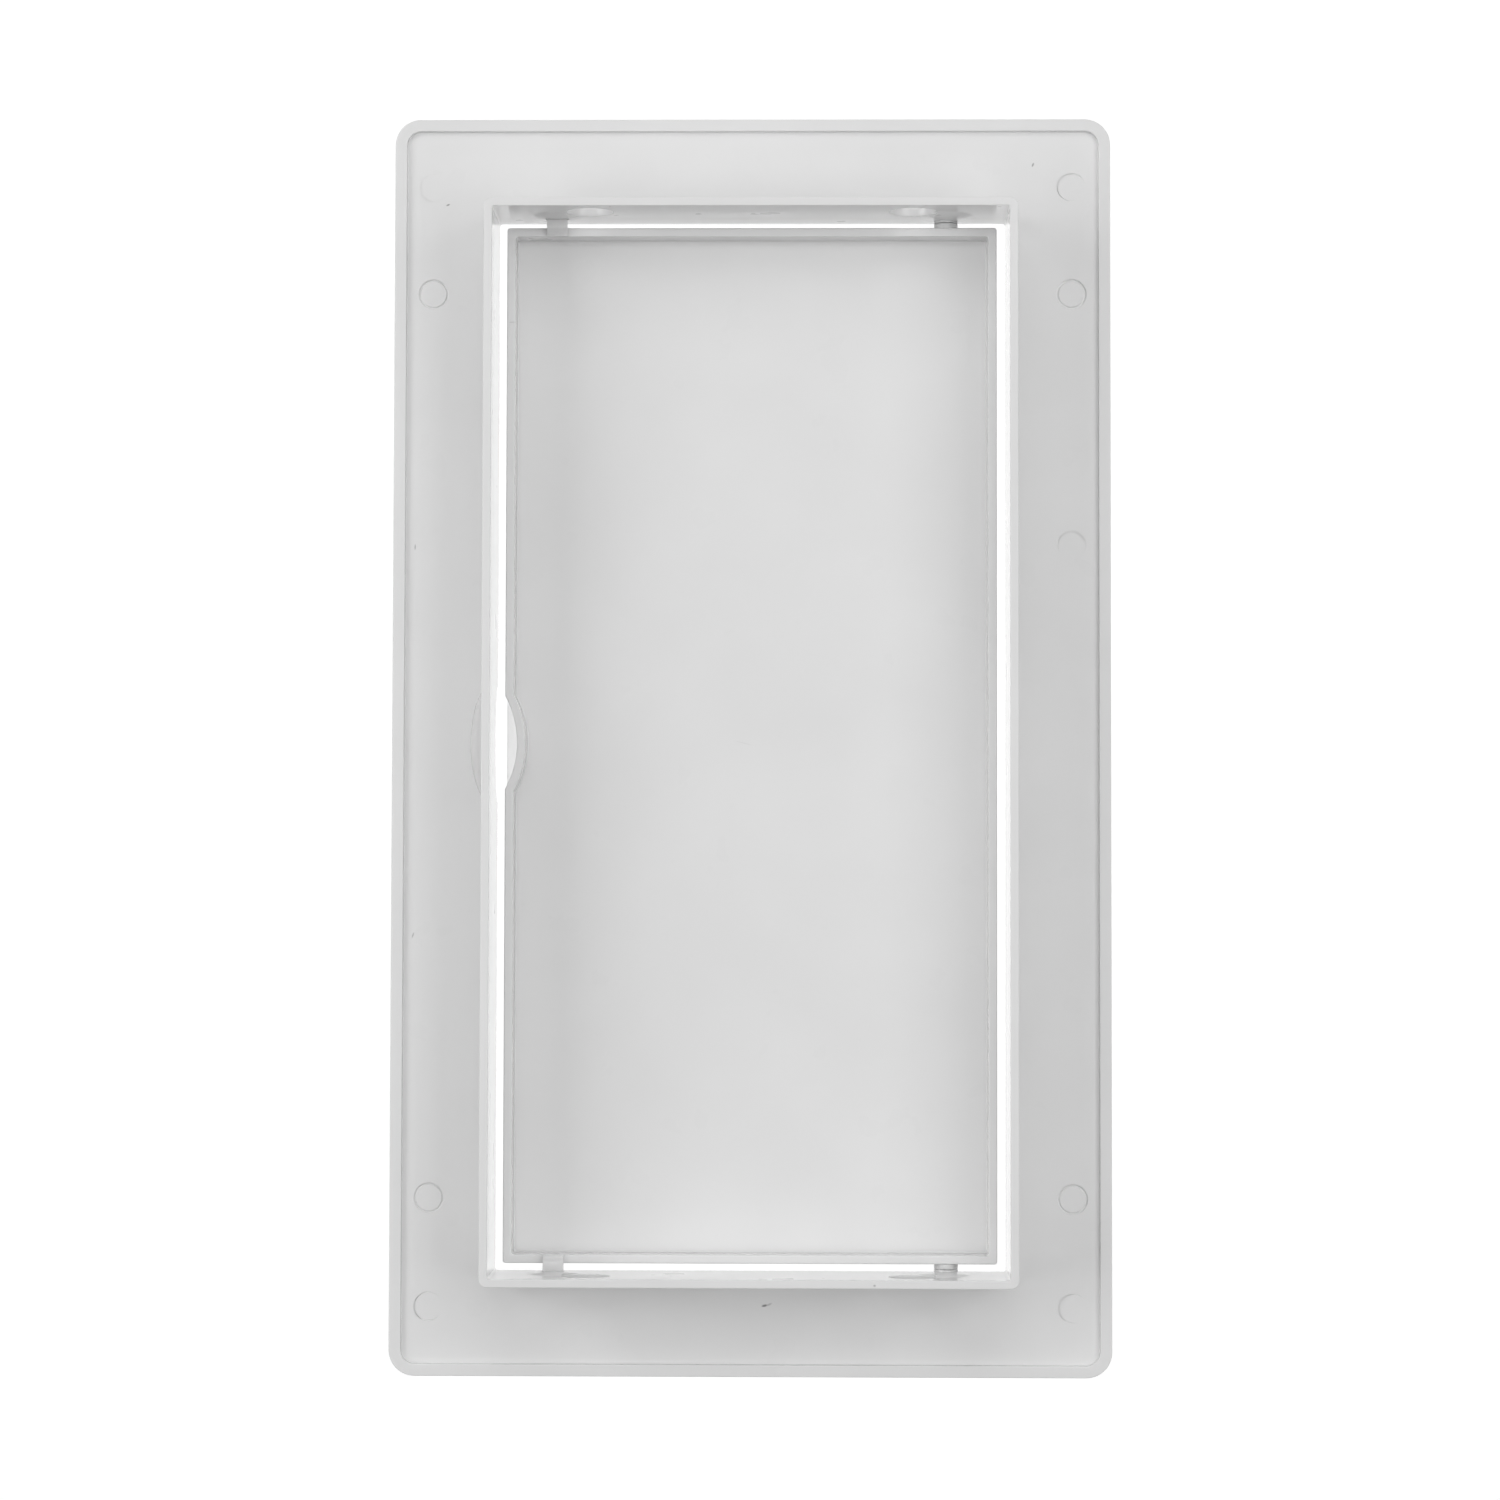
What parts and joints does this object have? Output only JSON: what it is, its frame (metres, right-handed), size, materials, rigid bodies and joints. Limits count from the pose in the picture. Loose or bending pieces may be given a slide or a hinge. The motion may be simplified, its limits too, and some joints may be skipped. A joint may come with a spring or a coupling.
{
  "type": "ceiling access panel",
  "caption": "White plastic ceiling access panel: flanged frame with a deep collar and a flush tray door that swings out on hinge pins and snaps shut.",
  "frame": {"origin": "centre of the visible face of the panel, in its plane", "axes": "+Z from the visible face toward the ceiling void, along the collar; +Y along the long side; +X toward the hinge side"},
  "size_m": [0.2, 0.35, 0.03],
  "materials": {
    "frame_abs": "white moulded plastic, fine satin",
    "door_abs": "white moulded plastic, fine satin",
    "pin_abs": "white moulded plastic, satin",
    "tongue_abs": "white moulded plastic, satin"
  },
  "bodies": {
    "frame": {"frame": "frame_abs"},
    "door": {"door": "door_abs", "hinge_pin_upper": "pin_abs", "hinge_pin_lower": "pin_abs", "latch_tongue_upper": "tongue_abs", "latch_tongue_lower": "tongue_abs"}
  },
  "joints": [
    {"name": "door_hinge", "type": "hinge", "parent": "frame", "child": "door", "pos_m": [0.054, 0, 0.0065], "axis": [0, -1, 0], "range_deg": [0, 130]}
  ]
}
